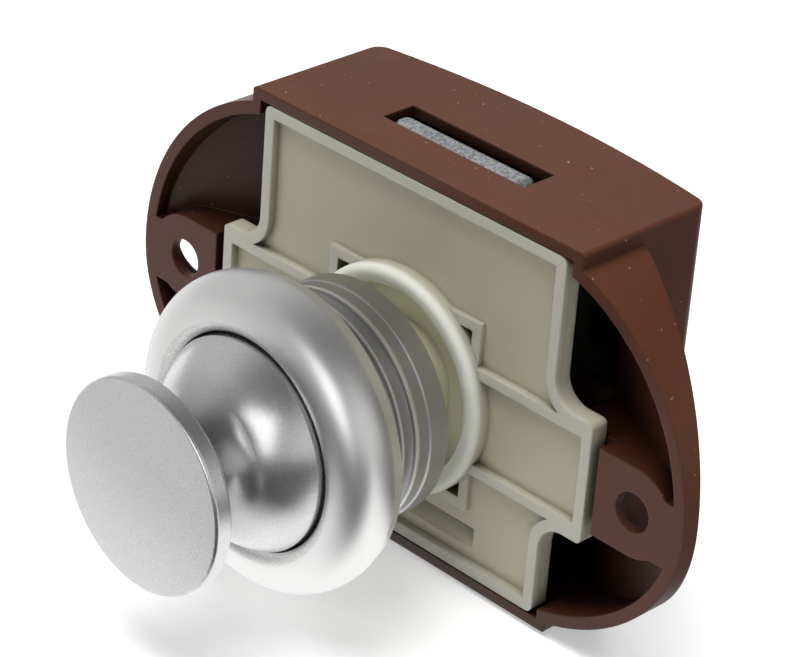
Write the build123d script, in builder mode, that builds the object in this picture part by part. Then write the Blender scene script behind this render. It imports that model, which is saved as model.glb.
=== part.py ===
from build123d import *
from math import asin, cos, degrees, radians, sin, sqrt
import os

# Pushbutton lock for a cabinet door, drawn in millimetres.
# Y = 0 is the face that lies on the door, +Y goes into the case and +Z is the bolt's side.
# The origin is the knob's axis on that face.

# Case
case_width = 47.0
case_top = 24.35
bottom_room = 6.4
rear_bulge = 2.2
wall = 1.2
rear_wall = 1.5
rear_corner_r = 1.8
rear_room = 1.8
guide_depth = 4.5
edge_r = 0.4

# Round ends with the screw holes
screw_offset = 9.5
screw_hole_d = 4.3
screw_head_d = 9.0
screw_web = 1.1
boss_d = 10.0
boss_web_top = 3.1
boss_web_bottom = 4.2
boss_web_r = 0.8
end_projection = 16.1
end_centre_inset = 7.45
end_top_drop = 0.55
end_bottom_rise = 0.2
end_root_depth = 9.1
end_tip_depth = 2.1
end_rim = 1.4
end_floor = 1.3

# Travel of the knob and of the bolt
knob_travel = 11.0
bolt_throw = 8.8

# Clearances
running_gap = 0.3
seat_gap = 0.15
tab_end_gap = 1.2
pin_gap = 0.05
slide_gap = 0.4

# Bolt and its slot
bolt_width = 18.8
bolt_thickness = 3.0
bolt_front_y = 5.95
bolt_sink = 0.1
bolt_edge_r = 1.3
bolt_corner_r = 1.0
slot_side_gap = 0.65
slot_front_gap = 0.15
slot_rear_gap = 1.2

# Cover plate
plate_side_gap = 0.85
plate_depth = 2.2
field_recess = 0.9
rim_width = 1.3
plate_corner_r = 0.8
tab_length = 5.45
tab_half_height = 6.9
tab_root_r = 3.0
tab_corner_r = 0.6
rib_z = 5.55
rib_width = 1.2
window_half = 9.8
window_border = 1.2
window_border_rise = 0.6
collar_step = 0.25
collar_wall = 2.1
collar_lip_r = 0.9
collar_front = 1.3
collar_back = 1.2
pocket_half_width = 11.9
pocket_offset = 0.25
pocket_height = 2.5
pocket_depth = 1.9
pocket_wall = 0.8

# Knob
door_thickness = 15.0
knob_disc_d = 22.6
knob_disc_thickness = 1.95
knob_dome = 0.75
knob_rim_r = 0.35
disc_back_slope = 0.35
knob_front_y = 35.45
knob_neck_r = 6.1
knob_neck_y = 28.8
knob_flare_r = 3.6
knob_flare_angle = 55
knob_bell_end_y = 21.6
knob_shoulder_y = 20.6
knob_wall = 1.6
knob_hub_r = 6.2
stem_d = 7.8
stem_head_y = 27.0

# Rosette with the sleeve that grips the door hole
door_hole_d = 26.0
sleeve_gap = 0.1
sleeve_wall = 1.25
sleeve_end_y = 5.2
rosette_overhang = 3.95
rosette_crest_offset = 1.95
rosette_front_y = 21.5
rosette_edge_y = 16.6
rosette_edge_angle = 10
grip_ribs_y = (13.5, 11.5, 9.55)
grip_rib_width = 0.5
grip_depth = 0.45
sleeve_step_y = 7.8
sleeve_step = 0.15

# Slider that carries the knob
slider_depth = 4.6
slider_corner_r = 1.2
slider_hub_r = 6.4
slider_hub_front = 6.0
stem_socket_floor = 4.4
clip_y = -3.0
clip_wire = 0.8
clip_groove = 0.5
clip_opening = 60

# Pins of the slider in the sloping slots of the carrier
cam_pin_d = 2.0
cam_pin_z = 5.0
cam_pin_y = 4.15
cam_pin_length = 8.0

# Carrier of the bolt
cheek_gap = 1.8
cheek_thickness = 2.4
carrier_front_y = 2.7
cheek_foot = 1.25
track_pad = 2.0
track_foot = 0.5
track_room = 0.7
rivet_d = 1.8
rivet_x = 6.2

# Heart track and its wire
catch_wire_d = 0.8
track_depth = 1.4
track_width = 1.4
catch_pivot_y = 9.0
catch_pivot_z = 3.6
heart_width = 2.4
heart_height = 5.2
heart_notch = 1.1
catch_post_d = 4.0

# Return springs
spring_x = 6.2
spring_z = -4.2
spring_coil_d = 4.2
spring_wire_d = 0.5
spring_turns = 4
spring_sides = 6
spring_pocket_floor = 2.7
spring_peg_d = 2.6
spring_peg_length = 3.6

# Sizes that follow from the ones above
case_half = case_width / 2
sleeve_r = door_hole_d / 2 - sleeve_gap
case_bottom = sleeve_r + bottom_room
case_height = case_top + case_bottom
inner_half = case_half - wall
inner_top = case_top - wall
inner_bottom = case_bottom - wall
plate_half = inner_half - plate_side_gap
plate_top = inner_top - seat_gap
plate_bottom = inner_bottom - seat_gap
tab_reach = plate_half + tab_length
end_centre_x = case_half - end_centre_inset
end_tip_x = case_half + end_projection
end_reach = end_tip_x - end_centre_x
end_top = case_top - end_top_drop
end_bottom = case_bottom - end_bottom_rise
screw_x = case_half + screw_offset
bore_r = sleeve_r - sleeve_wall
knob_skirt_r = bore_r - running_gap
knob_skirt_end_y = knob_travel + collar_front + running_gap
collar_outer_r = sleeve_r - collar_step
collar_inner_r = collar_outer_r - collar_wall
pocket_top_z = collar_outer_r + pocket_offset
rosette_r = sleeve_r + rosette_overhang
rosette_crest_r = bore_r + rosette_crest_offset
slider_half = window_half - slide_gap
slider_front_y = collar_back + running_gap
slider_rear_y = slider_front_y + slider_depth
case_depth = slider_rear_y + knob_travel + rear_room + rear_wall
cheek_inner_x = slider_half + cheek_gap
cheek_foot_z = cam_pin_z - bolt_throw - cam_pin_d / 2 - cheek_foot
cheek_outer_x = cheek_inner_x + cheek_thickness
bridge_bottom_z = slider_half + slide_gap
bridge_top_z = inner_top - bolt_throw - slide_gap
bolt_bottom_z = bridge_bottom_z
bolt_top_z = case_top - bolt_sink
bolt_y = bolt_front_y + bolt_thickness / 2
track_x = cheek_outer_x + track_pad
catch_tip_z = bolt_throw + track_width / 2 + track_foot + track_room - inner_bottom
catch_arm = catch_pivot_z - catch_tip_z
track_foot_z = track_room - inner_bottom
leg_front_y = field_recess + pocket_depth + pocket_wall + slide_gap
catch_swing = degrees(asin((heart_width + track_width) / catch_arm))
catch_lift = catch_arm * (1 - cos(radians(catch_swing)))
track_top_z = catch_tip_z + track_width + catch_lift + track_pad
guide_foot_z = track_top_z + bolt_throw + slide_gap
spring_seat_y = case_depth - rear_wall - running_gap
rivet_z = (bridge_bottom_z + bridge_top_z) / 2
rivet_places = ((-rivet_x, rivet_z), (rivet_x, rivet_z))
screw_places = ((-screw_x, 0), (screw_x, 0))
spring_places = ((-spring_x, spring_z), (spring_x, spring_z))
through = 2 * case_height


def rear_face_y(x, inset=0.0):
    """Depth of the bowed rear face at a distance x from the middle."""
    chord = case_half
    radius = (chord**2 + rear_bulge**2) / (2 * rear_bulge)
    centre_y = case_depth - radius
    return centre_y + sqrt((radius - inset) ** 2 - x**2)


def case_plan(half, rear, front=0.0):
    """Plan outline of the case with a bowed rear side."""
    with BuildLine() as outline:
        Polyline(
            (-half, rear_face_y(half, rear)),
            (-half, front),
            (half, front),
            (half, rear_face_y(half, rear)),
        )
        ThreePointArc(
            (half, rear_face_y(half, rear)),
            (0, rear_face_y(0, rear)),
            (-half, rear_face_y(half, rear)),
        )
    return outline.line.edges()


def end_outline(inset):
    """Right end of the case seen from the front, made of two quarter ellipses."""
    reach = end_reach - inset
    with BuildLine() as outline:
        EllipticalCenterArc((end_centre_x, 0), reach, end_top - inset, start_angle=0, arc_size=90)
        EllipticalCenterArc((end_centre_x, 0), reach, end_bottom - inset, start_angle=270, arc_size=90)
        Line((end_centre_x, end_top - inset), (end_centre_x, -end_bottom + inset))
    return outline.line.edges()


def end_wedge(front, floor):
    """Side profile of the right end, whose back slopes towards the tip."""
    slope = (end_root_depth - end_tip_depth) / (end_tip_x - case_half)
    rise = slope * (case_half - end_centre_x)
    with BuildLine() as outline:
        Polyline(
            (end_centre_x, front),
            (end_tip_x, front),
            (end_tip_x, end_tip_depth - floor),
            (end_centre_x, end_root_depth + rise - floor),
            close=True,
        )
    return outline.line.edges()


# Hollows above and below the right screw boss, which a web joins to the rim
with BuildPart() as end_pocket:
    with BuildSketch(Plane.XZ):
        make_face(end_outline(end_rim))
    extrude(amount=-through)
    with BuildSketch(Plane.XY.offset(-case_height)):
        make_face(end_wedge(-wall, end_floor))
    extrude(amount=2 * case_height, mode=Mode.INTERSECT)
    with BuildSketch(Plane.XZ.offset(wall)):
        with Locations((screw_x / 2, 0)):
            Rectangle(screw_x, boss_d)
        with Locations((screw_x, 0)):
            Circle(boss_d / 2)
        with Locations(((screw_x + end_tip_x) / 2, (boss_web_top - boss_web_bottom) / 2)):
            Rectangle(end_tip_x - screw_x, boss_web_top + boss_web_bottom)
    extrude(amount=-through, mode=Mode.SUBTRACT)
    web_corner = end_pocket.edges().filter_by(Axis.Y).sort_by_distance((end_tip_x, 0, -boss_web_bottom))[0]
    fillet(web_corner, boss_web_r)

# Right end, and its mirror image for the left
with BuildPart() as right_end:
    with BuildSketch(Plane.XZ):
        make_face(end_outline(0))
    extrude(amount=-through)
    with BuildSketch(Plane.XY.offset(-case_height)):
        make_face(end_wedge(0, 0))
    extrude(amount=2 * case_height, mode=Mode.INTERSECT)

left_end = mirror(right_end.part, about=Plane.YZ)
left_pocket = mirror(end_pocket.part, about=Plane.YZ)

# Housing: one moulding, open at the front
with BuildPart() as housing:
    with BuildSketch(Plane.XY.offset(-case_bottom)):
        make_face(case_plan(case_half, 0))
    extrude(amount=case_height)
    rear_corners = housing.edges().filter_by(Axis.Z).group_by(Axis.Y)[-1]
    fillet(rear_corners, rear_corner_r)
    top_and_bottom = housing.faces().filter_by(Axis.Z).edges()
    fillet(top_and_bottom.filter_by(lambda e: e.center().Y > edge_r), edge_r)
    add(left_end)
    add(right_end.part)

    with BuildSketch(Plane.XY.offset(-inner_bottom)) as cavity:
        make_face(case_plan(inner_half, rear_wall, -wall))
    extrude(amount=inner_top + inner_bottom, mode=Mode.SUBTRACT)

    # Hollows of both ends, open to the inside of the case through its side walls
    add(left_pocket, mode=Mode.SUBTRACT)
    add(end_pocket.part, mode=Mode.SUBTRACT)

    # Recesses for the tabs of the cover plate
    with BuildSketch(Plane.XZ):
        Rectangle(2 * (tab_reach + tab_end_gap), 2 * (tab_half_height + seat_gap))
    extrude(amount=-(plate_depth + seat_gap), mode=Mode.SUBTRACT)

    # Screw holes, with room for the heads at the back
    with BuildSketch(Plane.XZ):
        with Locations(*screw_places):
            Circle(screw_hole_d / 2)
    extrude(amount=-case_depth, mode=Mode.SUBTRACT)
    with BuildSketch(Plane.XZ.offset(-screw_web)):
        with Locations(*screw_places):
            Circle(screw_head_d / 2)
    extrude(amount=-case_depth, mode=Mode.SUBTRACT)

    # Slot for the bolt in the top wall
    slot_depth = bolt_thickness + slot_front_gap + slot_rear_gap
    with BuildSketch(Plane.XY.offset(inner_top - wall)):
        with Locations((0, bolt_front_y - slot_front_gap + slot_depth / 2)):
            Rectangle(bolt_width + 2 * slot_side_gap, slot_depth)
    extrude(amount=3 * wall, mode=Mode.SUBTRACT)

    # Guide ribs for the carrier on the rear wall
    guide_x = cheek_outer_x + running_gap + wall / 2
    with BuildSketch(Plane.XY.offset(guide_foot_z)):
        with Locations((-guide_x, rear_face_y(guide_x) - wall), (guide_x, rear_face_y(guide_x) - wall)):
            Rectangle(wall, guide_depth, align=(Align.CENTER, Align.MAX))
    extrude(amount=inner_top - guide_foot_z)

    # Seats and pegs for the return springs
    with BuildSketch(Plane.XZ.offset(-spring_seat_y)):
        with Locations(*spring_places):
            Circle(spring_coil_d / 2 + spring_wire_d)
    extrude(until=Until.NEXT, dir=(0, 1, 0))
    with BuildSketch(Plane.XZ.offset(-(spring_seat_y - spring_peg_length))):
        with Locations(*spring_places):
            Circle(spring_peg_d / 2)
    extrude(until=Until.NEXT, dir=(0, 1, 0))

    # Post that the catch wire turns in
    post_x = track_x + catch_wire_d + running_gap
    with BuildSketch(Plane.YZ.offset(post_x)):
        with Locations((catch_pivot_y, catch_pivot_z)):
            Circle(catch_post_d / 2)
    extrude(amount=inner_half - post_x)
    with BuildSketch(Plane.YZ.offset(post_x)):
        with Locations((catch_pivot_y, catch_pivot_z)):
            Circle(catch_wire_d / 2 + pin_gap)
    extrude(amount=inner_half - post_x, mode=Mode.SUBTRACT)

housing.part.label = "housing"


# Cover plate: one moulding with a rim, ribs, a square window and a round collar
def plate_outline():
    """Front outline of the cover plate with its two side tabs."""
    with BuildSketch() as outline:
        with Locations((0, (plate_top - plate_bottom) / 2)):
            Rectangle(2 * plate_half, plate_top + plate_bottom)
        plate_corners = outline.vertices()
        fillet(plate_corners, plate_corner_r)
        Rectangle(2 * tab_reach, 2 * tab_half_height)
        tab_corners = outline.vertices().filter_by(lambda v: abs(abs(v.X) - tab_reach) < pin_gap)
        fillet(tab_corners, tab_corner_r)
        tab_roots = outline.vertices().filter_by(
            lambda v: abs(abs(v.X) - plate_half) < pin_gap and abs(v.Y) < tab_half_height + pin_gap
        )
        fillet(tab_roots, tab_root_r)
    return outline.sketch_local


with BuildPart() as cover_plate:
    with BuildSketch(Plane.XZ):
        add(plate_outline())
    extrude(amount=-plate_depth)
    with BuildSketch(Plane.XZ):
        add(plate_outline())
        offset(amount=-rim_width, kind=Kind.INTERSECTION)
        with Locations((0, rib_z), (0, -rib_z)):
            Rectangle(2 * tab_reach, rib_width, mode=Mode.SUBTRACT)
    extrude(amount=-field_recess, mode=Mode.SUBTRACT)

    # Square window with its raised border
    with BuildSketch(Plane.XZ.offset(-field_recess + window_border_rise)):
        Rectangle(2 * (window_half + window_border), 2 * (window_half + window_border))
    extrude(amount=-window_border_rise)
    with BuildSketch(Plane.XZ.offset(collar_front)):
        Rectangle(2 * window_half, 2 * window_half)
    extrude(amount=-through, mode=Mode.SUBTRACT)

    # Collar round the window
    with BuildSketch(Plane.XZ.offset(collar_front)):
        Circle(collar_outer_r)
    extrude(amount=-(collar_front + collar_back))
    with BuildSketch(Plane.XZ.offset(collar_front)):
        Circle(collar_inner_r)
    extrude(amount=-(collar_front + collar_back), mode=Mode.SUBTRACT)
    with BuildSketch(Plane.XZ.offset(-collar_back)):
        Rectangle(2 * window_half, 2 * window_half)
    extrude(amount=-through, mode=Mode.SUBTRACT)
    collar_lip = cover_plate.edges().filter_by(GeomType.CIRCLE).group_by(Axis.Y)[0]
    fillet(collar_lip, collar_lip_r)

    # Long recess below the collar, with its own back wall and a floor that slopes to its lower side
    with BuildSketch(Plane.XZ.offset(-plate_depth)):
        with Locations((0, -(pocket_top_z + pocket_height / 2))):
            Rectangle(2 * (pocket_half_width + pocket_wall), pocket_height + 2 * pocket_wall)
    extrude(amount=-(field_recess + pocket_depth + pocket_wall - plate_depth))
    with BuildSketch(Plane.YZ.offset(-pocket_half_width)):
        with BuildLine():
            Polyline(
                (0, -pocket_top_z),
                (field_recess + pocket_depth, -pocket_top_z),
                (field_recess, -(pocket_top_z + pocket_height)),
                (0, -(pocket_top_z + pocket_height)),
                close=True,
            )
        make_face()
    extrude(amount=2 * pocket_half_width, mode=Mode.SUBTRACT)

cover_plate.part.label = "cover_plate"

# Rosette and its sleeve, turned in one piece
with BuildPart() as rosette:
    with BuildSketch(Plane.XY):
        with BuildLine():
            lip_y = -(knob_shoulder_y + running_gap)
            crest = (rosette_crest_r, -rosette_front_y)
            edge = (rosette_r, -rosette_edge_y)
            flange_back = (rosette_r - 2 * running_gap, -door_thickness)
            Line((bore_r, -sleeve_end_y), (bore_r, lip_y))
            Line((bore_r, lip_y), (bore_r + running_gap, lip_y - running_gap))
            Spline(
                (bore_r + running_gap, lip_y - running_gap),
                crest,
                edge,
                tangents=[(1, -1), (-sin(radians(rosette_edge_angle)), cos(radians(rosette_edge_angle)))],
            )
            Line(edge, flange_back)
            Line(flange_back, (sleeve_r - grip_depth, -door_thickness))
            sleeve_line = [(sleeve_r - grip_depth, -door_thickness)]
            for rib_y in grip_ribs_y:
                sleeve_line += [
                    (sleeve_r - grip_depth, -rib_y - grip_rib_width / 2),
                    (sleeve_r, -rib_y - grip_rib_width / 4),
                    (sleeve_r, -rib_y + grip_rib_width / 4),
                    (sleeve_r - grip_depth, -rib_y + grip_rib_width / 2),
                ]
            sleeve_line.pop()
            sleeve_line += [
                (sleeve_r - sleeve_step, -grip_ribs_y[-1] + grip_rib_width),
                (sleeve_r - sleeve_step, -sleeve_step_y),
                (sleeve_r, -sleeve_step_y + sleeve_step),
                (sleeve_r, -sleeve_end_y - sleeve_step),
                (sleeve_r - sleeve_step, -sleeve_end_y),
                (bore_r, -sleeve_end_y),
            ]
            Polyline(sleeve_line)
        make_face()
    revolve(axis=Axis.Y)

rosette.part.label = "rosette"

# Knob: one turned shell with a hub for its stem
with BuildPart() as knob:
    with BuildSketch(Plane.XY):
        with BuildLine():
            disc_r = knob_disc_d / 2
            rim_front_y = -(knob_front_y - knob_dome)
            rim_back_y = rim_front_y + knob_disc_thickness
            inner_r = knob_skirt_r - knob_wall
            ThreePointArc(
                (0, -knob_front_y),
                (disc_r / 2, -knob_front_y + knob_dome / 4),
                (disc_r, rim_front_y),
            )
            Line((disc_r, rim_front_y), (disc_r, rim_back_y))
            Spline(
                (disc_r, rim_back_y),
                (knob_neck_r, -knob_neck_y),
                tangents=[(-1, disc_back_slope), (0, 1)],
            )
            flare = JernArc((knob_neck_r, -knob_neck_y), (0, 1), knob_flare_r, -knob_flare_angle)
            TangentArc(flare @ 1, (knob_skirt_r, -knob_bell_end_y), tangent=flare % 1)
            Polyline(
                (knob_skirt_r, -knob_bell_end_y),
                (knob_skirt_r, -knob_skirt_end_y),
                (inner_r, -knob_skirt_end_y),
                (inner_r, -knob_shoulder_y + knob_wall),
                (knob_hub_r, -knob_shoulder_y),
                (knob_hub_r, -knob_skirt_end_y - knob_wall),
                (stem_d / 2 + pin_gap, -knob_skirt_end_y - knob_wall),
                (stem_d / 2 + pin_gap, -stem_head_y),
                (0, -stem_head_y),
                (0, -knob_front_y),
            )
        profile = make_face()
        rim_corners = profile.vertices().filter_by(
            lambda v: v.X > disc_r - pin_gap and v.Y < rim_back_y + pin_gap
        )
        fillet(rim_corners, knob_rim_r)
    revolve(axis=Axis.Y)

knob.part.label = "knob"

# Stem of the knob, with a groove for its clip
with BuildPart() as knob_stem:
    with BuildSketch(Plane.XY):
        with BuildLine():
            Polyline(
                (0, -stem_head_y),
                (stem_d / 2 - running_gap, -stem_head_y),
                (stem_d / 2, -stem_head_y + running_gap),
                (stem_d / 2, clip_y - clip_wire / 2),
                (stem_d / 2 - clip_groove, clip_y - clip_wire / 2),
                (stem_d / 2 - clip_groove, clip_y + clip_wire / 2),
                (stem_d / 2, clip_y + clip_wire / 2),
                (stem_d / 2, stem_socket_floor - 2 * running_gap),
                (stem_d / 2 - running_gap, stem_socket_floor - running_gap),
                (0, stem_socket_floor - running_gap),
                close=True,
            )
        make_face()
    revolve(axis=Axis.Y)

knob_stem.part.label = "knob_stem"

# Open wire ring that holds the stem in the slider
clip_inner_r = stem_d / 2 - clip_groove + pin_gap
clip_outer_r = stem_d / 2 + clip_groove
clip_width = clip_wire - 2 * pin_gap
with BuildPart() as stem_clip:
    with BuildSketch(Plane.XY):
        with Locations(((clip_inner_r + clip_outer_r) / 2, clip_y)):
            Rectangle(clip_outer_r - clip_inner_r, clip_width)
    revolve(axis=Axis.Y, revolution_arc=360 - clip_opening)

stem_clip.part.label = "stem_clip"

# Slider: square, guided by the window of the cover plate
with BuildPart() as slider:
    with BuildSketch(Plane.XZ.offset(-slider_front_y)):
        RectangleRounded(2 * slider_half, 2 * slider_half, slider_corner_r)
    extrude(amount=-slider_depth)
    with BuildSketch(Plane.XZ.offset(-slider_front_y)):
        Circle(slider_hub_r)
    extrude(amount=slider_front_y + slider_hub_front)
    with BuildSketch(Plane.XZ.offset(slider_hub_front)):
        Circle(stem_d / 2 + pin_gap)
    extrude(amount=-(slider_hub_front + stem_socket_floor), mode=Mode.SUBTRACT)
    with BuildSketch(Plane.XY):
        with Locations((0, clip_y)):
            Rectangle(clip_outer_r + pin_gap, clip_wire, align=(Align.MIN, Align.CENTER))
    revolve(axis=Axis.Y, mode=Mode.SUBTRACT)
    with BuildSketch(Plane.XZ.offset(-slider_rear_y)):
        with Locations(*spring_places):
            Circle(spring_coil_d / 2 + spring_wire_d)
    extrude(amount=slider_rear_y - spring_pocket_floor, mode=Mode.SUBTRACT)
    for side in (-1, 1):
        with BuildSketch(Plane.YZ.offset(side * slider_half)):
            with Locations((cam_pin_y, cam_pin_z)):
                Circle(cam_pin_d / 2 + pin_gap)
        extrude(amount=side * -(cam_pin_length - cheek_outer_x + slider_half + pin_gap), mode=Mode.SUBTRACT)
    hub_rim = slider.edges().filter_by(GeomType.CIRCLE).group_by(Axis.Y)[0].sort_by(SortBy.RADIUS)[-1]
    chamfer(hub_rim, edge_r)

slider.part.label = "slider"


# Steel pins of the slider
def cam_pin(side):
    with BuildPart() as pin:
        with BuildSketch(Plane.YZ.offset(side * cheek_outer_x)):
            with Locations((cam_pin_y, cam_pin_z)):
                Circle(cam_pin_d / 2)
        extrude(amount=side * -cam_pin_length)
        chamfer(pin.edges(), seat_gap)
    return pin


cam_pin_left = cam_pin(-1)
cam_pin_left.part.label = "cam_pin_left"
cam_pin_right = cam_pin(1)
cam_pin_right.part.label = "cam_pin_right"

# Bolt: a sheared steel plate with rounded upper edges
with BuildPart() as bolt:
    with BuildSketch(Plane.XZ.offset(-bolt_front_y)):
        with Locations((0, bolt_bottom_z)):
            Rectangle(bolt_width, bolt_top_z - bolt_bottom_z, align=(Align.CENTER, Align.MIN))
    extrude(amount=-bolt_thickness)
    upper_corners = bolt.edges().filter_by(Axis.Y).group_by(Axis.Z)[-1]
    fillet(upper_corners, bolt_corner_r)
    upper_edges = bolt.faces().sort_by(Axis.Z)[-1].edges().filter_by(Axis.X)
    fillet(upper_edges, bolt_edge_r)
    with BuildSketch(Plane.XZ.offset(-bolt_front_y)):
        with Locations(*rivet_places):
            Circle(rivet_d / 2 + pin_gap)
    extrude(amount=-bolt_thickness, mode=Mode.SUBTRACT)

bolt.part.label = "bolt"

# Carrier: two cheeks with sloping slots, joined by a bridge that holds the bolt
carrier_rear_y = rear_face_y(track_x, rear_wall) - slide_gap
slot_angle = degrees(asin(bolt_throw / sqrt(bolt_throw**2 + knob_travel**2)))
slot_length = sqrt(bolt_throw**2 + knob_travel**2)
slot_middle = (cam_pin_y + knob_travel / 2, cam_pin_z - bolt_throw / 2)
carrier_depth = carrier_rear_y - carrier_front_y
carrier_middle_y = (carrier_rear_y + carrier_front_y) / 2
with BuildPart() as bolt_carrier:
    with BuildSketch(Plane.XY.offset(bridge_bottom_z)):
        with Locations((0, carrier_middle_y)):
            Rectangle(2 * cheek_outer_x, carrier_depth)
    extrude(amount=bridge_top_z - bridge_bottom_z)
    for side in (-1, 1):
        with BuildSketch(Plane.YZ.offset(side * cheek_inner_x)):
            with Locations((carrier_middle_y, cheek_foot_z)):
                Rectangle(carrier_depth, bridge_top_z - cheek_foot_z, align=(Align.CENTER, Align.MIN))
        extrude(amount=side * cheek_thickness)
    outer_edges = bolt_carrier.edges().filter_by(Axis.Y).group_by(Axis.Z)[-1]
    fillet(outer_edges, slider_corner_r)

    # Plate with the heart track below the right cheek
    with BuildSketch(Plane.YZ.offset(cheek_inner_x)):
        with Locations((leg_front_y, track_foot_z)):
            Rectangle(carrier_rear_y - leg_front_y, cheek_foot_z - track_foot_z, align=(Align.MIN, Align.MIN))
    extrude(amount=cheek_thickness)
    with BuildSketch(Plane.YZ.offset(cheek_outer_x)):
        with Locations((leg_front_y, track_foot_z)):
            Rectangle(carrier_rear_y - leg_front_y, track_top_z - track_foot_z, align=(Align.MIN, Align.MIN))
    extrude(amount=track_pad)

    # Sloping slots
    with BuildSketch(Plane.YZ):
        with Locations(Location(slot_middle, -slot_angle)):
            SlotCenterToCenter(slot_length, cam_pin_d + 2 * seat_gap)
    extrude(amount=cheek_outer_x, both=True, mode=Mode.SUBTRACT)

    # Heart track, cut into the outer side of the plate
    track_top = catch_tip_z + track_width / 2 + catch_lift
    track_bottom = catch_tip_z - bolt_throw - track_width / 2
    track_near = catch_pivot_y - track_width / 2
    track_far = catch_pivot_y + heart_width + track_width * 3 / 2
    heart_near = catch_pivot_y + track_width / 2
    heart_far = heart_near + heart_width
    heart_top = catch_tip_z - track_width
    heart_foot = heart_top - heart_height
    with BuildSketch(Plane.YZ.offset(track_x)):
        with Locations(((track_near + track_far) / 2, (track_top + track_bottom) / 2)):
            Rectangle(track_far - track_near, track_top - track_bottom)
        with BuildLine():
            Polyline(
                (heart_near, heart_top - heart_width / 2),
                ((heart_near + heart_far) / 2, heart_top),
                (heart_far, heart_top - heart_width / 2),
                (heart_far, heart_foot),
                ((heart_near + heart_far) / 2, heart_foot + heart_notch),
                (heart_near, heart_foot + heart_notch / 2),
                close=True,
            )
        make_face(mode=Mode.SUBTRACT)
    extrude(amount=-track_depth, mode=Mode.SUBTRACT)

    # Pocket and rivet holes for the bolt
    with BuildSketch(Plane.XY.offset(bridge_bottom_z)):
        with Locations((0, bolt_y)):
            Rectangle(bolt_width + 2 * pin_gap, bolt_thickness + 2 * pin_gap)
    extrude(amount=bridge_top_z - bridge_bottom_z, mode=Mode.SUBTRACT)
    with BuildSketch(Plane.XZ.offset(-carrier_front_y)):
        with Locations(*rivet_places):
            Circle(rivet_d / 2 + pin_gap)
    extrude(amount=-(bolt_y + bolt_thickness), mode=Mode.SUBTRACT)

bolt_carrier.part.label = "bolt_carrier"

# Two rivets through the bridge and the foot of the bolt
with BuildPart() as bolt_rivets:
    with BuildSketch(Plane.XZ.offset(-carrier_front_y)):
        with Locations(*rivet_places):
            Circle(rivet_d / 2)
    extrude(amount=-(bolt_y + bolt_thickness - pin_gap))

bolt_rivets.part.label = "bolt_rivets"


# Return springs between the slider and the rear wall
def return_spring(side):
    radius = (spring_coil_d - spring_wire_d) / 2
    start_y = spring_pocket_floor + spring_wire_d / 2 + pin_gap
    length = spring_seat_y - start_y - spring_wire_d / 2 - pin_gap
    with BuildPart() as spring:
        with BuildLine() as coil:
            Helix(
                pitch=length / spring_turns,
                height=length,
                radius=radius,
                center=(side * spring_x, start_y, spring_z),
                direction=(0, 1, 0),
            )
        with BuildSketch(Plane(origin=coil.line @ 0, z_dir=coil.line % 0)):
            RegularPolygon(spring_wire_d / 2, spring_sides)
        sweep(is_frenet=True)
    return spring


return_spring_left = return_spring(-1)
return_spring_left.part.label = "return_spring_left"
return_spring_right = return_spring(1)
return_spring_right.part.label = "return_spring_right"

# Catch wire: bent at both ends, turning in the post and running in the heart track
wire_x = track_x + catch_wire_d / 2 + seat_gap
tip_x = track_x - track_depth + seat_gap
pivot_x = inner_half - seat_gap
with BuildPart() as catch_wire:
    with BuildLine() as bend:
        FilletPolyline(
            (tip_x, catch_pivot_y, catch_tip_z),
            (wire_x, catch_pivot_y, catch_tip_z),
            (wire_x, catch_pivot_y, catch_pivot_z),
            (pivot_x, catch_pivot_y, catch_pivot_z),
            radius=catch_wire_d / 2 + pin_gap,
        )
    with BuildSketch(Plane(origin=(tip_x, catch_pivot_y, catch_tip_z), z_dir=(1, 0, 0))):
        Circle(catch_wire_d / 2)
    sweep()

catch_wire.part.label = "catch_wire"

os.makedirs("parts", exist_ok=True)
export_step(housing.part, "parts/housing.step")
export_step(cover_plate.part, "parts/cover_plate.step")
export_step(rosette.part, "parts/rosette.step")
export_step(knob.part, "parts/knob.step")
export_step(knob_stem.part, "parts/knob_stem.step")
export_step(stem_clip.part, "parts/stem_clip.step")
export_step(slider.part, "parts/slider.step")
export_step(cam_pin_left.part, "parts/cam_pin_left.step")
export_step(cam_pin_right.part, "parts/cam_pin_right.step")
export_step(bolt.part, "parts/bolt.step")
export_step(bolt_carrier.part, "parts/bolt_carrier.step")
export_step(bolt_rivets.part, "parts/bolt_rivets.step")
export_step(return_spring_left.part, "parts/return_spring_left.step")
export_step(return_spring_right.part, "parts/return_spring_right.step")
export_step(catch_wire.part, "parts/catch_wire.step")
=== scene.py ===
import math

import bmesh
import bpy
from mathutils import Matrix, Vector


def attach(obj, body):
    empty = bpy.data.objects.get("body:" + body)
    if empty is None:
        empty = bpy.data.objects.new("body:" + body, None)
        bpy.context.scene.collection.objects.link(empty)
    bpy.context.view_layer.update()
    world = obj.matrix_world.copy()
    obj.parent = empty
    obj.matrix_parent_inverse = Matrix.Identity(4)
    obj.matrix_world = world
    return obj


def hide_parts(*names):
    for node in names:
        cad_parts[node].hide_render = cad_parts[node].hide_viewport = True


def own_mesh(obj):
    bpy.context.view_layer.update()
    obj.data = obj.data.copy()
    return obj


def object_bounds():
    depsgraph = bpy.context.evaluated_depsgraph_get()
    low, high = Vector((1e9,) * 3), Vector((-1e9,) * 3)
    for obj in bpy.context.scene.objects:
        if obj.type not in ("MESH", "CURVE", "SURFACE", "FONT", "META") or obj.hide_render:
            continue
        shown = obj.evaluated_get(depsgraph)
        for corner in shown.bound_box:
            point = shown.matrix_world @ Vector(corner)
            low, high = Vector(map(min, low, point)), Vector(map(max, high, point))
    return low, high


MM = 0.001

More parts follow.
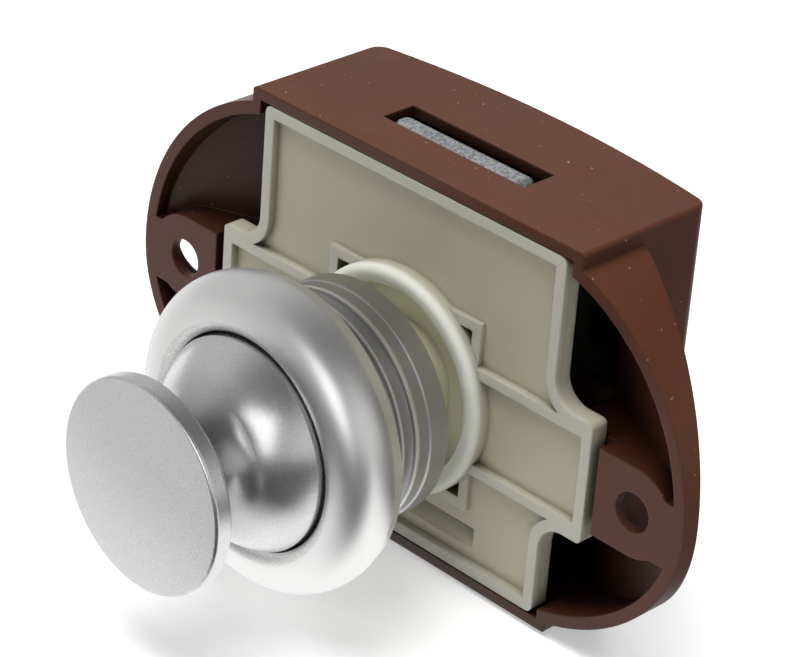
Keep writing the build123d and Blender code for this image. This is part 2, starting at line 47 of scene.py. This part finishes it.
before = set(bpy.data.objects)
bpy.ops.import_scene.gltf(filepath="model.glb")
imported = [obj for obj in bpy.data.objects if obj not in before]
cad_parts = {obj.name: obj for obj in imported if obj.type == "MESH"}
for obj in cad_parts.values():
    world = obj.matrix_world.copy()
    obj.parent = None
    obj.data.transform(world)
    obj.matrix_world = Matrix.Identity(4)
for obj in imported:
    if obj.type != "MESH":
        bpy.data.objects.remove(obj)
cad_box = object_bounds()

# Shader helpers
OPENNESS_SAMPLES = 8
EDGE_SAMPLES = 6
NOISE_SPAN = (0.3, 0.7)

# The colour sockets of a mix node, which has a set of sockets for each kind of data
MIX_FACTOR, MIX_FIRST, MIX_SECOND, MIX_RESULT = 0, 6, 7, 2


def grey(shade):
    return (shade, shade, shade)


class Finish:
    """A node material with one principled shader, built up step by step."""

    def __init__(self, name, roughness, metallic=0.0, specular=0.5):
        self.material = bpy.data.materials.new(name)
        self.material.use_nodes = True
        self.tree = self.material.node_tree
        self.tree.nodes.clear()
        self.output = self.add("ShaderNodeOutputMaterial")
        self.shader = self.add("ShaderNodeBsdfPrincipled")
        self.link(self.shader.outputs["BSDF"], self.output.inputs["Surface"])
        self.shader.inputs["Roughness"].default_value = roughness
        self.shader.inputs["Metallic"].default_value = metallic
        self.shader.inputs["Specular IOR Level"].default_value = specular
        self.coords = self.add("ShaderNodeTexCoord")

    def add(self, kind, **settings):
        node = self.tree.nodes.new(kind)
        for key, value in settings.items():
            setattr(node, key, value)
        return node

    def link(self, source, target):
        self.tree.links.new(source, target)

    def noise(self, scale, detail, roughness=0.5, stretch=(1, 1, 1)):
        """Noise in object space, stretched along the axes."""
        mapping = self.add("ShaderNodeMapping")
        mapping.inputs["Scale"].default_value = stretch
        self.link(self.coords.outputs["Object"], mapping.inputs["Vector"])
        texture = self.add("ShaderNodeTexNoise")
        texture.inputs["Scale"].default_value = scale
        texture.inputs["Detail"].default_value = detail
        texture.inputs["Roughness"].default_value = roughness
        self.link(mapping.outputs["Vector"], texture.inputs["Vector"])
        return texture.outputs["Fac"]

    def across(self, direction):
        """Distance along a direction in object space."""
        node = self.add("ShaderNodeVectorMath", operation="DOT_PRODUCT")
        self.link(self.coords.outputs["Object"], node.inputs[0])
        node.inputs[1].default_value = direction
        return node.outputs["Value"]

    def length(self, vector):
        node = self.add("ShaderNodeVectorMath", operation="LENGTH")
        self.link(vector, node.inputs[0])
        return node.outputs["Value"]

    def spread(self, value, low, high, to_low=0.0, to_high=1.0):
        """Maps a stretch of a value to another range, clamped."""
        node = self.add("ShaderNodeMapRange", clamp=True)
        node.inputs["From Min"].default_value = low
        node.inputs["From Max"].default_value = high
        node.inputs["To Min"].default_value = to_low
        node.inputs["To Max"].default_value = to_high
        self.link(value, node.inputs["Value"])
        return node.outputs["Result"]

    def ramp(self, value, places, colours):
        """Colours that blend from place to place of a value."""
        node = self.add("ShaderNodeValToRGB")
        elements = node.color_ramp.elements
        while len(elements) < len(places):
            elements.new(0.5)
        for element, place, colour in zip(elements, places, colours):
            element.position = place
            element.color = (*colour, 1)
        self.link(value, node.inputs["Fac"])
        return node.outputs["Color"]

    def mix(self, factor, first, second, blend="MIX"):
        """Two colours mixed. Each of the three may be a socket or fixed."""
        node = self.add("ShaderNodeMix", data_type="RGBA", blend_type=blend)
        if isinstance(factor, bpy.types.NodeSocket):
            self.link(factor, node.inputs[MIX_FACTOR])
        else:
            node.inputs[MIX_FACTOR].default_value = factor
        for place, colour in ((MIX_FIRST, first), (MIX_SECOND, second)):
            if isinstance(colour, bpy.types.NodeSocket):
                self.link(colour, node.inputs[place])
            else:
                node.inputs[place].default_value = (*colour, 1)
        return node.outputs[MIX_RESULT]

    def multiply(self, first, second):
        return self.mix(1.0, first, second, "MULTIPLY")

    def colour(self, value):
        self.link(value, self.shader.inputs["Base Color"])

    def current_colour(self):
        return self.shader.inputs["Base Color"].links[0].from_socket

    def rough(self, pattern, low, high):
        """Roughness that follows a noise, from low to high."""
        roughness = self.spread(pattern, *NOISE_SPAN, low, high)
        self.link(roughness, self.shader.inputs["Roughness"])

    def openness(self, reach):
        """How freely a point sees its surroundings, from 0 in a deep corner to 1."""
        node = self.add("ShaderNodeAmbientOcclusion", samples=OPENNESS_SAMPLES)
        node.inputs["Distance"].default_value = reach
        return node.outputs["AO"]

    def eased(self, radius):
        """Normals that round the sharp edges over a small radius."""
        node = self.add("ShaderNodeBevel", samples=EDGE_SAMPLES)
        node.inputs["Radius"].default_value = radius
        return node.outputs["Normal"]

    def bump(self, value, strength, distance, after=None):
        """Relief from a value, on top of eased edges where they are given."""
        node = self.add("ShaderNodeBump")
        node.inputs["Strength"].default_value = strength
        node.inputs["Distance"].default_value = distance
        self.link(value, node.inputs["Height"])
        if after is not None:
            self.link(after, node.inputs["Normal"])
        self.link(node.outputs["Normal"], self.shader.inputs["Normal"])


# Kinds of finish. A larger scale is a finer pattern.
MOULDED_EDGE = 0.3 * MM
FLOW_SCALE = 45
FLOW_PLACES = (0.3, 0.5, 0.7)
MOTTLE_SCALE = 180
MOTTLE_SMOOTH = 0.05
MOTTLE_DULL = 0.06
DUST_SCALE = 2100
DUST_CUT = (0.775, 0.795)
GRAIN_SCALE = 2200
GRAIN_DEPTH = 0.05 * MM
# Painted shade in hollows: the share of the colour left in a deep corner, and the openness over
# which it fades.
PAINTED_SHADE_FACTOR = 0.25
PAINTED_SHADE_SPAN = (0.25, 0.85)


def moulded(name, tones, roughness, grain, specular, specks=None, painted_shade_reach=None):
    """Moulded plastic with soft flow patches, a fine grain and eased edges.

    Specks are a colour of dust. The reach of the painted shade is how far off a wall still
    darkens a hollow.
    """
    finish = Finish(name, roughness, specular=specular)
    colour = finish.ramp(finish.noise(FLOW_SCALE, detail=2), FLOW_PLACES, tones)
    if specks is not None:
        dust = finish.spread(finish.noise(DUST_SCALE, detail=1, roughness=0.4), *DUST_CUT)
        colour = finish.mix(dust, colour, specks)
    # Painted shade: the colour darkens where the surface sees little of its surroundings.
    if painted_shade_reach is not None:
        painted_shade_colour = tuple(c * PAINTED_SHADE_FACTOR for c in tones[0])
        painted_shade_openness = finish.spread(finish.openness(painted_shade_reach), *PAINTED_SHADE_SPAN)
        colour = finish.mix(painted_shade_openness, painted_shade_colour, colour)
    finish.colour(colour)
    mottled = finish.noise(MOTTLE_SCALE, detail=2)
    finish.rough(mottled, roughness - MOTTLE_SMOOTH, roughness + MOTTLE_DULL)
    eased = finish.eased(MOULDED_EDGE)
    finish.bump(finish.noise(GRAIN_SCALE, detail=2), grain, GRAIN_DEPTH, after=eased)
    return finish


LIGHT_SPREAD = (1.0, 0.85, 0.6)
LIGHT_DEPTH = 1.5 * MM


def translucent(finish, weight):
    """Lets light into the plastic, so thin rims and ribs look paler."""
    finish.shader.inputs["Subsurface Weight"].default_value = weight
    finish.shader.inputs["Subsurface Radius"].default_value = LIGHT_SPREAD
    finish.shader.inputs["Subsurface Scale"].default_value = LIGHT_DEPTH


METAL_EDGE = 0.12 * MM
BLAST_SCALE = 5200
BLAST_PLACES = (0.35, 0.65)
BLAST_STRENGTH = 0.14
BLAST_DEPTH = 0.03 * MM
TONE_SCALE = 90
TONE_SMOOTH = 0.02
TONE_DULL = 0.03


def satin_metal(name, colour, roughness, grain):
    """Finely blasted metal with a dense even grain and softly broken edges."""
    finish = Finish(name, roughness, metallic=1.0)
    fine = finish.noise(BLAST_SCALE, detail=1, roughness=0.4)
    low = tuple(c * (1 - grain) for c in colour)
    high = tuple(min(1.0, c * (1 + grain)) for c in colour)
    finish.colour(finish.ramp(fine, BLAST_PLACES, (low, high)))
    tone = finish.noise(TONE_SCALE, detail=2)
    finish.rough(tone, roughness - TONE_SMOOTH, roughness + TONE_DULL)
    finish.bump(fine, BLAST_STRENGTH, BLAST_DEPTH, after=finish.eased(METAL_EDGE))
    return finish


CRYSTAL_SCALE = 3000
CRYSTAL_PLACES = (0.34, 0.5, 0.62)
CRYSTAL_TONES = ((0.34, 0.36, 0.37), (0.78, 0.8, 0.81), (1.0, 1.0, 1.0))
CRYSTAL_ROUGHNESS = (0.5, 0.26)
CRYSTAL_STRENGTH = 0.55
CRYSTAL_DEPTH = 0.12 * MM
SHEAR_SCALE = 900
SHEAR_STRETCH = (0.4, 1, 1)
SHEAR_PLACES = (0.35, 0.65)
SHEAR_TONES = ((0.8, 0.82, 0.83), (1.0, 1.0, 1.0))


def zinc_steel(name):
    """Zinc-plated sheet with a sparkling sheared face."""
    finish = Finish(name, roughness=0.36, metallic=1.0)
    crystals = finish.noise(CRYSTAL_SCALE, detail=3, roughness=0.7)
    streaks = finish.noise(SHEAR_SCALE, detail=3, stretch=SHEAR_STRETCH)
    pale = finish.ramp(crystals, CRYSTAL_PLACES, CRYSTAL_TONES)
    shade = finish.ramp(streaks, SHEAR_PLACES, SHEAR_TONES)
    finish.colour(finish.multiply(pale, shade))
    finish.rough(crystals, *CRYSTAL_ROUGHNESS)
    finish.bump(crystals, CRYSTAL_STRENGTH, CRYSTAL_DEPTH)
    return finish.material


WIRE_SCALE = 900
WIRE_TONES = ((0.3, 0.3, 0.31), (0.52, 0.52, 0.53))
WIRE_ROUGHNESS = (0.24, 0.4)
WIRE_STRENGTH = 0.1
WIRE_DEPTH = 0.03 * MM


def drawn_wire(name):
    """Dark bright-drawn spring steel."""
    finish = Finish(name, roughness=0.3, metallic=1.0)
    streak = finish.noise(WIRE_SCALE, detail=3)
    finish.colour(finish.ramp(streak, NOISE_SPAN, WIRE_TONES))
    finish.rough(streak, *WIRE_ROUGHNESS)
    finish.bump(streak, WIRE_STRENGTH, WIRE_DEPTH)
    return finish.material


# Finishes of the pieces. Depths are measured inwards from the face that lies on the door,
# and each pair holds the two ends between which a tone changes.
INWARDS = (0, 1, 0)

BROWN = ((0.087, 0.0265, 0.012), (0.098, 0.0305, 0.0145), (0.11, 0.0355, 0.0175))
DUST = (0.42, 0.33, 0.27)
# Reach of the painted shade in the case's hollows.
CASE_PAINTED_SHADE_REACH = 16 * MM


def case_plastic():
    """The case's brown, with painted shade darkening its hollows, and a few pale specks of dust.
    """
    brown = moulded(
        "brown_plastic",
        BROWN,
        roughness=0.38,
        grain=0.1,
        specular=0.32,
        specks=DUST,
        painted_shade_reach=CASE_PAINTED_SHADE_REACH,
    )
    return brown.material


IVORY = ((0.55, 0.515, 0.385), (0.585, 0.548, 0.41), (0.62, 0.585, 0.445))
# Painted light: the rim, the faces behind the field and the collar are made paler, standing in
# for light through the plastic.
RIM_PAINTED_LIGHT = (0.6, 0.585, 0.5)
RIM_LIGHT_DEPTHS = (0.8 * MM, 0.2 * MM)
BACK_PAINTED_LIGHT = (0.62, 0.59, 0.46)
BACK_LIGHT_DEPTHS = (1.0 * MM, 1.2 * MM)
COLLAR_PAINTED_LIGHT = (0.84, 0.85, 0.78)
COLLAR_LIGHT_DEPTHS = (-0.1 * MM, -0.9 * MM)
# Painted shade in the plate's corners and recesses.
SHADED_IVORY = (0.2, 0.185, 0.13)
CORNER_SHADE_REACH = 4 * MM
CORNER_SHADE_SPAN = (0.2, 0.7)


def plate_plastic():
    """The cover plate's ivory, with painted light that makes the rim, the collar and the faces
    behind the field paler, and painted shade in corners.
    """
    ivory = moulded("ivory_plastic", IVORY, roughness=0.34, grain=0.05, specular=0.4)
    depth = ivory.across(INWARDS)
    # Painted light on the rim, behind the field and on the collar.
    with_rim_light = ivory.mix(ivory.spread(depth, *RIM_LIGHT_DEPTHS), ivory.current_colour(), RIM_PAINTED_LIGHT)
    with_back_light = ivory.mix(ivory.spread(depth, *BACK_LIGHT_DEPTHS), with_rim_light, BACK_PAINTED_LIGHT)
    with_collar_light = ivory.mix(ivory.spread(depth, *COLLAR_LIGHT_DEPTHS), with_back_light, COLLAR_PAINTED_LIGHT)
    # Painted shade: darker where the surface sees little of its surroundings.
    painted_shade_openness = ivory.spread(ivory.openness(CORNER_SHADE_REACH), *CORNER_SHADE_SPAN)
    ivory.colour(ivory.mix(painted_shade_openness, SHADED_IVORY, with_collar_light))
    translucent(ivory, weight=0.25)
    return ivory.material


OLIVE = ((0.33, 0.32, 0.22), (0.36, 0.35, 0.245), (0.39, 0.38, 0.27))
# Reach of the painted shade in hollows.
OLIVE_PAINTED_SHADE_REACH = 14 * MM
# Painted light: the slider's front is made pale where it shows in the gap around the sleeve.
PAINTED_LIGHT_OLIVE = (0.88, 0.86, 0.66)
PAINTED_LIGHT_DEPTHS = (2.7 * MM, 4.0 * MM)


def mechanism_plastic():
    """The olive of slider and carrier, with painted light that makes the slider pale where it
    shows around the sleeve, and painted shade in hollows.
    """
    olive = moulded(
        "inner_plastic",
        OLIVE,
        roughness=0.4,
        grain=0.05,
        specular=0.3,
        painted_shade_reach=OLIVE_PAINTED_SHADE_REACH,
    )
    # Painted light near the front, fading to the plain olive further in.
    painted_light_fade = olive.spread(olive.across(INWARDS), *PAINTED_LIGHT_DEPTHS)
    olive.colour(olive.mix(painted_light_fade, PAINTED_LIGHT_OLIVE, olive.current_colour()))
    translucent(olive, weight=0.2)
    return olive.material


ROSETTE_METAL = (0.84, 0.83, 0.82)
# Painted shade: the sleeve's metal is made darker, standing in for the darker surroundings it
# mirrors.
SLEEVE_PAINTED_SHADE = grey(0.54)
SLEEVE_DEPTHS = (-15 * MM, -14 * MM)
# Painted highlight: the crests of the sleeve's ribs are made nearly white.
CREST_PAINTED_HIGHLIGHT = (0.98, 0.98, 0.97)
CREST_RADII = (12.62 * MM, 12.86 * MM)
RIB_DEPTHS = (-9.0 * MM, -9.3 * MM)
OFF_AXIS = (1, 0, 1)


def rosette_finish():
    """A blasted ring, with painted shade that darkens the sleeve and painted highlights on the
    crests of its ribs.
    """
    rosette = satin_metal("rosette_metal", ROSETTE_METAL, roughness=0.4, grain=0.12)
    depth = rosette.across(INWARDS)
    sleeve = rosette.spread(depth, *SLEEVE_DEPTHS)
    # Painted shade on the sleeve.
    sleeve_shaded = rosette.mix(sleeve, rosette.current_colour(), SLEEVE_PAINTED_SHADE)
    from_axis = rosette.add("ShaderNodeVectorMath", operation="MULTIPLY")
    from_axis.inputs[1].default_value = OFF_AXIS
    rosette.link(rosette.coords.outputs["Object"], from_axis.inputs[0])
    radius = rosette.length(from_axis.outputs["Vector"])
    # Painted highlight on the rib crests.
    crest_highlights = rosette.mix(rosette.spread(radius, *CREST_RADII), sleeve_shaded, CREST_PAINTED_HIGHLIGHT)
    rosette.colour(rosette.mix(rosette.spread(depth, *RIB_DEPTHS), sleeve_shaded, crest_highlights))
    return rosette.material


KNOB_METAL = grey(0.83)
# Painted shade: the neck behind the disc is made darker, standing in for the dark surroundings it
# mirrors.
NECK_PAINTED_SHADE = (0.34, 0.34, 0.36)
NECK_FRONT = (-32.6 * MM, -32.2 * MM)
NECK_BACK = (-29.0 * MM, -24.5 * MM)


def knob_finish():
    """A smoother blasted shell, with painted shade that darkens the neck behind its disc."""
    knob = satin_metal("knob_metal", KNOB_METAL, roughness=0.28, grain=0.06)
    depth = knob.across(INWARDS)
    satin = knob.current_colour()
    # Painted shade on the neck, fading out towards the bell.
    with_neck_shade = knob.mix(knob.spread(depth, *NECK_FRONT), satin, NECK_PAINTED_SHADE)
    knob.colour(knob.mix(knob.spread(depth, *NECK_BACK), with_neck_shade, satin))
    return knob.material


STEM_METAL = (0.55, 0.55, 0.56)

inner_plastic = mechanism_plastic()
stem_steel = satin_metal("stem_steel", STEM_METAL, roughness=0.3, grain=0.05).material
spring_steel = drawn_wire("spring_steel")

finishes = {
    "housing": case_plastic(),
    "cover_plate": plate_plastic(),
    "rosette": rosette_finish(),
    "knob": knob_finish(),
    "knob_stem": stem_steel,
    "stem_clip": spring_steel,
    "slider": inner_plastic,
    "cam_pin_left": stem_steel,
    "cam_pin_right": stem_steel,
    "bolt": zinc_steel("bolt_steel"),
    "bolt_carrier": inner_plastic,
    "bolt_rivets": stem_steel,
    "return_spring_left": spring_steel,
    "return_spring_right": spring_steel,
    "catch_wire": spring_steel,
}
for node, material in finishes.items():
    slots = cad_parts[node].data.materials
    slots.clear()
    slots.append(material)

# Return springs, wound from round wire between the slider's pockets and the case's back
SPRING_PLACES = (("left", -6.2 * MM, -4.2 * MM), ("right", 6.2 * MM, -4.2 * MM))
SPRING_RADIUS = 1.85 * MM
SPRING_WIRE = 0.5 * MM
SPRING_FRONT = 2.99 * MM
SPRING_BACK = 18.31 * MM
SPRING_TURNS = 8
STEPS_PER_TURN = 24
WIRE_SIDES = 8
MERGE_DISTANCE = 0.005 * MM


def coil_spring(side, x, z):
    """A round wire wound by the spin operator, with its ends closed."""
    mesh = bpy.data.meshes.new("spring_" + side)
    shape = bmesh.new()
    ring = bmesh.ops.create_circle(
        shape, cap_ends=True, segments=WIRE_SIDES, radius=SPRING_WIRE / 2
    )
    start = Matrix.Translation((x + SPRING_RADIUS, SPRING_FRONT, z))
    bmesh.ops.transform(shape, matrix=start, verts=ring["verts"])
    steps = SPRING_TURNS * STEPS_PER_TURN
    bmesh.ops.spin(
        shape,
        geom=shape.verts[:] + shape.edges[:] + shape.faces[:],
        cent=(x, SPRING_FRONT, z),
        axis=INWARDS,
        dvec=(0, (SPRING_BACK - SPRING_FRONT) / steps, 0),
        angle=math.radians(360 * SPRING_TURNS),
        steps=steps,
        use_merge=False,
    )
    bmesh.ops.remove_doubles(shape, verts=shape.verts, dist=MERGE_DISTANCE)
    bmesh.ops.recalc_face_normals(shape, faces=shape.faces)
    for face in shape.faces:
        face.smooth = True
    shape.to_mesh(mesh)
    shape.free()
    spring = bpy.data.objects.new("spring_" + side, mesh)
    bpy.context.scene.collection.objects.link(spring)
    mesh.materials.append(spring_steel)
    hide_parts("return_spring_" + side)
    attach(spring, "case")
    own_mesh(spring)


for side, x, z in SPRING_PLACES:
    coil_spring(side, x, z)

# Camera. The shift splits the knob's droop in the photograph between case and knob.
CAMERA_PLACE = Vector((202.61, -213.87, 169.01)) * MM
CAMERA_TURN = (43.43, 29.05, 4.44)
FOCAL_PIXELS = 3287.48
IMAGE_WIDTH = 800
DROOP_PIXELS = 4.0
SENSOR_MM = 36.0
CLIP_NEAR = 0.01
CLIP_FAR = 20


def camera_axes(azimuth, elevation, roll):
    """Right, up and back of a camera that looks at the lock."""
    a, e, r = (math.radians(v) for v in (azimuth, elevation, roll))
    back = Vector((math.sin(a) * math.cos(e), -math.cos(a) * math.cos(e), math.sin(e)))
    level = Vector((math.cos(a), math.sin(a), 0))
    right = level * math.cos(r) + back.cross(level) * math.sin(r)
    return right, back.cross(right), back


lens = bpy.data.cameras.new("camera")
camera = bpy.data.objects.new("camera", lens)
bpy.context.scene.collection.objects.link(camera)
turn = Matrix(camera_axes(*CAMERA_TURN)).transposed().to_4x4()
camera.matrix_world = Matrix.Translation(CAMERA_PLACE) @ turn
lens.sensor_width = SENSOR_MM
lens.lens = FOCAL_PIXELS * SENSOR_MM / IMAGE_WIDTH
lens.shift_y = DROOP_PIXELS / IMAGE_WIDTH
lens.clip_start = CLIP_NEAR
lens.clip_end = CLIP_FAR
bpy.context.scene.camera = camera

# Floor. Each pair of depths or places holds the two ends between which a tone changes.
WHITE = grey(1.0)
FLOOR_DROP = 0.5 * MM
FLOOR_SIZE = 8.0
PAPER_SCALE = 6
PAPER_TONES = (grey(0.8), grey(0.84))
PAPER_GLOW = 0.42
FULL_GLOW = 1.0
GLOW_DISTANCES = (0.15, 0.8)
MIRRORED_DARK = grey(0.06)
DARK_DEPTHS = (-24 * MM, -36 * MM)
DARK_SIDE = (1.0, -0.35, 0.0)
DARK_SIDE_REACH = (0, 60 * MM)
DARK_SIDE_PLACES = (0.3, 0.6, 0.9)
DARK_SIDE_SHARES = (grey(0.0), grey(1.0), grey(0.9))
MIRRORED_FRONT = grey(0.62)
FRONT_DEPTHS = (-60 * MM, -30 * MM)
MIRRORED_DIM = grey(0.2)
DIM_DEPTHS = (-10 * MM, 10 * MM)
DIM_SIDE = (1.0, 0.0, 0.0)
DIM_SIDE_PLACES = (25 * MM, 40 * MM)


def mirrored_paper(paper):
    """A painted reflection, a glow that metal and gloss see on the paper: white near the lock,
    a little dimmer in front of it, dark to the front right, and dim behind on the right."""
    depth = paper.across(INWARDS)
    reach = paper.spread(paper.across(DARK_SIDE), *DARK_SIDE_REACH)
    share = paper.ramp(reach, DARK_SIDE_PLACES, DARK_SIDE_SHARES)
    dark = paper.mix(paper.spread(depth, *DARK_DEPTHS), WHITE, MIRRORED_DARK)
    dark_side = paper.mix(share, WHITE, dark)
    front = paper.mix(paper.spread(depth, *FRONT_DEPTHS), MIRRORED_FRONT, WHITE)
    dim = paper.mix(paper.spread(depth, *DIM_DEPTHS), WHITE, MIRRORED_DIM)
    right = paper.spread(paper.across(DIM_SIDE), *DIM_SIDE_PLACES)
    dim_side = paper.mix(right, WHITE, dim)
    return paper.multiply(paper.multiply(dark_side, front), dim_side)


def white_paper():
    """Pale paper that keeps its shadow and looks white to the eye and through glass; to gloss and
    metal it glows with the painted reflection instead.
    """
    paper = Finish("paper", roughness=0.9, specular=0.1)
    paper.colour(paper.ramp(paper.noise(PAPER_SCALE, detail=2), NOISE_SPAN, PAPER_TONES))
    rays = paper.add("ShaderNodeLightPath")
    seen = paper.add("ShaderNodeMath", operation="MAXIMUM")
    paper.link(rays.outputs["Is Camera Ray"], seen.inputs[0])
    paper.link(rays.outputs["Is Transmission Ray"], seen.inputs[1])
    away = paper.length(paper.coords.outputs["Object"])
    glow = paper.spread(away, *GLOW_DISTANCES, PAPER_GLOW, FULL_GLOW)
    strength = paper.add("ShaderNodeMath", operation="MULTIPLY")
    paper.link(seen.outputs["Value"], strength.inputs[0])
    paper.link(glow, strength.inputs[1])
    paper.shader.inputs["Emission Color"].default_value = (*WHITE, 1)
    paper.link(strength.outputs["Value"], paper.shader.inputs["Emission Strength"])
    mirrored = paper.add("ShaderNodeEmission")
    paper.link(mirrored_paper(paper), mirrored.inputs["Color"])
    blend = paper.add("ShaderNodeMixShader")
    paper.link(rays.outputs["Is Glossy Ray"], blend.inputs["Fac"])
    paper.link(paper.shader.outputs["BSDF"], blend.inputs[1])
    paper.link(mirrored.outputs["Emission"], blend.inputs[2])
    paper.link(blend.outputs["Shader"], paper.output.inputs["Surface"])
    return paper.material


def lay_floor():
    """A square sheet of paper just under the lock."""
    mesh = bpy.data.meshes.new("floor")
    shape = bmesh.new()
    bmesh.ops.create_grid(shape, x_segments=1, y_segments=1, size=FLOOR_SIZE / 2)
    height = cad_box[0][2] - FLOOR_DROP
    bmesh.ops.translate(shape, verts=shape.verts, vec=(0, 0, height))
    shape.to_mesh(mesh)
    shape.free()
    floor = bpy.data.objects.new("floor", mesh)
    bpy.context.scene.collection.objects.link(floor)
    floor.data.materials.append(white_paper())


lay_floor()

# Sky. Heights go from 0 at the horizon to 1 overhead, sides from 0 on the left to 1 on the right.
SKY_HEIGHTS = (0.05, 0.95)
SKY_STRENGTHS = (0.12, 0.5)
MIRRORED_SIDES = (0.18, 0.4, 0.6, 0.78, 0.92)
MIRRORED_SKY = (0.5, 0.22, 0.13, 0.16, 0.62)


def soft_sky():
    """A dim sky, brightest overhead, that is white to the eye.

    Metal and gloss mirror it brighter on both sides.
    """
    world = bpy.data.worlds.new("studio")
    bpy.context.scene.world = world
    world.use_nodes = True
    tree = world.node_tree

    def add(kind):
        return tree.nodes.new("ShaderNode" + kind)

    def spread(value, places, results):
        node = add("MapRange")
        names = ("From Min", "From Max", "To Min", "To Max")
        for name, number in zip(names, (*places, *results)):
            node.inputs[name].default_value = number
        tree.links.new(value, node.inputs["Value"])
        return node.outputs["Result"]

    def choose(ray, otherwise):
        """A mix node whose second colour is for one kind of ray."""
        node = add("Mix")
        node.data_type = "RGBA"
        tree.links.new(rays.outputs[ray], node.inputs[MIX_FACTOR])
        tree.links.new(otherwise, node.inputs[MIX_FIRST])
        return node

    rays = add("LightPath")
    direction = add("TexCoord")
    parts = add("SeparateXYZ")
    tree.links.new(direction.outputs["Generated"], parts.inputs["Vector"])
    light = spread(parts.outputs["Z"], SKY_HEIGHTS, SKY_STRENGTHS)
    sideways = spread(parts.outputs["X"], (-1, 1), (0, 1))
    mirrored = add("ValToRGB")
    elements = mirrored.color_ramp.elements
    while len(elements) < len(MIRRORED_SIDES):
        elements.new(0.5)
    for element, place, bright in zip(elements, MIRRORED_SIDES, MIRRORED_SKY):
        element.position = place
        element.color = (*grey(bright), 1)
    tree.links.new(sideways, mirrored.inputs["Fac"])
    lit = choose("Is Glossy Ray", light)
    tree.links.new(mirrored.outputs["Color"], lit.inputs[MIX_SECOND])
    shown = choose("Is Camera Ray", lit.outputs[MIX_RESULT])
    shown.inputs[MIX_SECOND].default_value = (*WHITE, 1)
    background = tree.nodes["Background"]
    tree.links.new(shown.outputs[MIX_RESULT], background.inputs["Color"])


soft_sky()


def softbox(name, place, target, size, power):
    """A rectangular lamp that faces a point."""
    lamp = bpy.data.lights.new(name, "AREA")
    lamp.shape = "RECTANGLE"
    lamp.size, lamp.size_y = size
    lamp.energy = power
    holder = bpy.data.objects.new(name, lamp)
    bpy.context.scene.collection.objects.link(holder)
    aim = (Vector(target) - Vector(place)).to_track_quat("-Z", "Y")
    holder.matrix_world = Matrix.Translation(place) @ aim.to_matrix().to_4x4()
    return holder


# The lamps overhead and behind light the surfaces and aren't mirrored.
# The one in front is only mirrored.
key = softbox("key", place=(-0.06, -0.13, 0.72), target=(0, 0, 0), size=(0.5, 0.4), power=4.4)
key.visible_glossy = False
window = softbox(
    "window", place=(0.22, -0.7, 0.25), target=(0, -0.02, 0), size=(0.46, 0.5), power=1.1
)
window.visible_diffuse = False
rear = softbox("back", place=(0.1, 0.5, 0.6), target=(0, 0, 0), size=(0.5, 0.3), power=1.4)
rear.visible_glossy = False

bpy.context.scene.view_settings.view_transform = "Standard"
